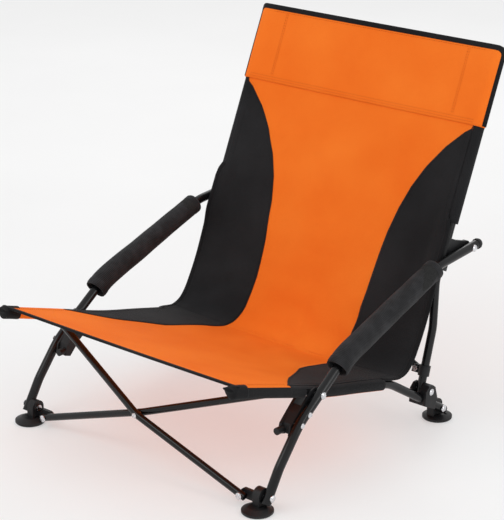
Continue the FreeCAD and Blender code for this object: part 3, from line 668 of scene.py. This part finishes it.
def make_rail_sleeves():
    """The seat cloth's sleeve round each rail: its edge binding outside, orange underneath.

    The sleeve stays open below and outside where the rail is hinged to the leg.
    """
    gap_low, gap_high = HINGE_GAP
    first = WAIST[0][0]
    for name, side in SIDES:
        parts = (("top_front", (SLEEVE_START, first), (-28, 40), ORANGE, "orange_fabric"),
                 ("band_front", (SLEEVE_START, first), (34, 150), TAPE_BLACK, "black_fabric"),
                 ("top_rear", (first, SLEEVE_END), (-28, 48), BLACK, "black_fabric"),
                 ("band_middle", (first, gap_low), (44, 150), TAPE_BLACK, "black_fabric"),
                 ("band_rear", (gap_high, SLEEVE_END - 0.002), (44, 138), TAPE_BLACK, "black_fabric"),
                 ("under_front", (0.006, gap_low), (146, 300), ORANGE, "orange_fabric"),
                 ("under_rear", (gap_high, SLEEVE_END), (134, 300), ORANGE, "orange_fabric"))
        for part, reach, degrees, material, slot in parts:
            thickness = 0.0020 if part.startswith("band") else CLOTH
            piece = wrap("rail_%s_%s" % (part, name), side, reach, degrees, material, RAIL_WRAP,
                         thickness=thickness, lift=0.0004)
            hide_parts("rail_sleeve_" + name)
            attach(piece, "rail_" + name)
            wrap_area(reach, degrees, RAIL_WRAP)
        make_corner(name, side)


def make_corner(name, side):
    """The sewn pocket that takes the rail's front end, pinched shut in front of it."""
    rows, around = 20, 40
    s = np.linspace(0.026, -0.0125, rows)
    turn = np.linspace(0, 2 * math.pi, around, endpoint=False)
    points, uvs = [], []
    for place in s:
        shut = float(soft_step(np.array(-place), 0.0015, 0.0125))
        middle = on_line(place)
        normal = line_normal(np.array(place))
        for angle in turn:
            wide = (RAIL_WRAP + 0.0016) * (1 + 0.05 * math.sin(3 * angle + 60 * place))
            high = wide * (1 - 0.80 * shut)
            out = middle + normal * (-RAIL_WRAP * (1 - 0.45 * shut) + high * math.cos(angle))
            points.append((side * (TUBE_X + wide * (1 - 0.12 * shut) * math.sin(angle)),
                           out[0] - MIDDLE_Y, out[1]))
            uvs.append((angle * RAIL_WRAP, float(place)))
    faces = []
    for i in range(rows - 1):
        for j in range(around):
            a, b = i * around + j, i * around + (j + 1) % around
            face = (a, b, b + around, a + around)
            faces.append(face if side > 0 else face[::-1])
    last = tuple(range((rows - 1) * around, rows * around))
    faces.append(last if side > 0 else last[::-1])
    corner = make_mesh("seat_corner_" + name, points, faces, uvs, TAPE_BLACK)
    solid = corner.modifiers.new("thickness", "SOLIDIFY")
    solid.thickness = 0.0008
    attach(corner, "rail_" + name)


# --- armrest covers -----------------------------------------------------------------------------

ARM_LINE = ((0.178, 0.1905), (0.190, 0.1985), (0.2007, 0.2046), (0.2212, 0.2134), (0.2664, 0.2290),
            (0.320, 0.2477), (0.380, 0.2686), (0.436, 0.2880))
ARM_X = 0.273
COVER_RADIUS = 0.0184
HEM_HEIGHT = 0.0006
HEM_LENGTH = 0.012


def cover_ring(side, turn, phases, line, run, w, scale, hem):
    """One ring of an armrest cover at a distance along it: its points and where they lie on the cloth."""
    y, z = np.interp(w, run, line[:, 0]), np.interp(w, run, line[:, 1])
    y2, z2 = np.interp(w + 0.004, run, line[:, 0]), np.interp(w + 0.004, run, line[:, 1])
    y1, z1 = np.interp(w - 0.004, run, line[:, 0]), np.interp(w - 0.004, run, line[:, 1])
    ahead = np.array([y2 - y1, z2 - z1])
    ahead = ahead / np.linalg.norm(ahead)
    normal = np.array([-ahead[1], ahead[0]])
    points, uvs = [], []
    for a in turn:
        slack = 0.00045 * math.sin(3 * a + w * 40 + phases[0])
        slack += 0.0004 * math.sin(w * 95 + a + phases[1])
        slack += 0.0005 * math.sin(2 * a + w * 22 + phases[2])
        reach = (COVER_RADIUS + hem + slack * (0.4 if hem else 1.0)) * scale
        out = math.cos(a) * reach
        x = side * (ARM_X + math.sin(a) * reach * 0.985)
        points.append((x, y + normal[0] * out - MIDDLE_Y, z + normal[1] * out))
        uvs.append((a * COVER_RADIUS, w))
    return points, uvs


def cover_profile(along, length):
    """The cover's rings as (distance, scale, extra): up its outside, then back down its inside."""
    rings = []
    for w in along:
        end = min(w, length - w)
        hem = HEM_HEIGHT if 0.002 < end < HEM_LENGTH else 0.0
        swell = 0.0011 - 0.0021 * w / length
        rounding = 1 - 0.02 * (1 - min(end / 0.002, 1)) ** 2
        rings.append((w, rounding, hem + swell))
    for w in along[::-1]:
        end = min(w, length - w)
        depth = 0.0016 if end > 0.001 else 0.0010
        rings.append((w, 1.0 - depth / COVER_RADIUS - 0.015, 0.0))
    return rings


def make_arm_covers():
    """A padded fabric sleeve: full in the middle, with turned-in hems and slack at both ends."""
    line = smooth_line(ARM_LINE, 10)
    run = np.concatenate([[0], np.cumsum(np.linalg.norm(np.diff(line, axis=0), axis=1))])
    length = float(run[-1])
    along = np.concatenate([[0, 0.0008, 0.002], np.linspace(0.004, length - 0.004, 150),
                            [length - 0.002, length - 0.0008, length]])
    around = 72
    turn = np.linspace(0, 2 * math.pi, around, endpoint=False)
    phases = np.random.default_rng(7).uniform(0, 2 * math.pi, 6)
    rings = cover_profile(along, length)
    rows = len(rings)
    for name, side in SIDES:
        points, uvs = [], []
        for w, scale, hem in rings:
            ring_points, ring_uvs = cover_ring(side, turn, phases, line, run, w, scale, hem)
            points += ring_points
            uvs += ring_uvs
        faces = []
        for i in range(rows):
            for j in range(around):
                k = (j + 1) % around
                a, b = i * around + j, i * around + k
                c, d = (i + 1) % rows * around + k, (i + 1) % rows * around + j
                faces.append((a, d, c, b) if side > 0 else (a, b, c, d))
        piece = make_mesh("arm_cover_cloth_" + name, points, faces, uvs, RIBBED)
        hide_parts("arm_cover_" + name)
        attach(piece, "leg_" + name)


# --- floor, lights, camera ----------------------------------------------------------------------

def make_stage():
    ground = bpy.data.meshes.new("floor")
    reach = 30.0
    below = -0.0005
    corners = [(-reach, -reach, below), (reach, -reach, below), (reach, reach, below), (-reach, reach, below)]
    ground.from_pydata(corners, [], [(0, 1, 2, 3)])
    pale = Nodes("pale_floor", 0.9, specular=0.1)
    pale.join(pale.ramp(pale.noise(2.0, 2.0), (0.2, (0.48, 0.48, 0.48)), (0.8, (0.51, 0.51, 0.51))),
              pale.shader.inputs["Base Color"])
    # a faint glow keeps the floor white without throwing the sling's colour back as strongly
    pale.shader.inputs["Emission Color"].default_value = (1, 1, 1, 1)
    pale.shader.inputs["Emission Strength"].default_value = 0.42
    ground.materials.append(pale.material)
    floor = bpy.data.objects.new("floor", ground)
    bpy.context.scene.collection.objects.link(floor)
    floor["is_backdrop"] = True
    world = bpy.data.worlds.new("studio")
    world.use_nodes = True
    world.node_tree.nodes["Background"].inputs["Color"].default_value = (1, 1, 1, 1)
    world.node_tree.nodes["Background"].inputs["Strength"].default_value = 0.85
    bpy.context.scene.world = world
    bpy.context.scene.view_settings.view_transform = "Standard"


def add_area(name, place, target, size, power):
    data = bpy.data.lights.new(name, "AREA")
    data.shape = "RECTANGLE"
    data.size, data.size_y = size
    data.energy = power
    light = bpy.data.objects.new(name, data)
    bpy.context.scene.collection.objects.link(light)
    light.location = place
    light.rotation_euler = (Vector(target) - Vector(place)).to_track_quat("-Z", "Y").to_euler()


def make_lights():
    middle = (0, 0, 0.25)
    add_area("key", (-0.9, -2.2, 2.4), middle, (1.6, 1.2), 14)
    add_area("side", (2.4, 0.2, 1.3), middle, (0.5, 2.0), 9)
    add_area("rim", (-1.4, 2.2, 1.8), middle, (1.2, 1.0), 8)


def make_camera():
    data = bpy.data.cameras.new("camera")
    data.lens = 133.2
    data.clip_end = 100
    camera = bpy.data.objects.new("camera", data)
    bpy.context.scene.collection.objects.link(camera)
    camera.location = (2.0270, -2.3362, 1.3824)
    way = Vector((-0.61839, 0.71037, -0.33611))
    camera.rotation_euler = way.to_track_quat("-Z", "Y").to_euler()
    bpy.context.scene.camera = camera


dress_frame()
make_seat()
make_back()
make_head()
make_post_sleeves()
make_rail_sleeves()
make_arm_covers()
make_stage()
make_lights()
make_camera()

boxes = {"cad": cad_box, "visual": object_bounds()}
{k: [[float(c) for c in corner] for corner in box] for k, box in boxes.items()}
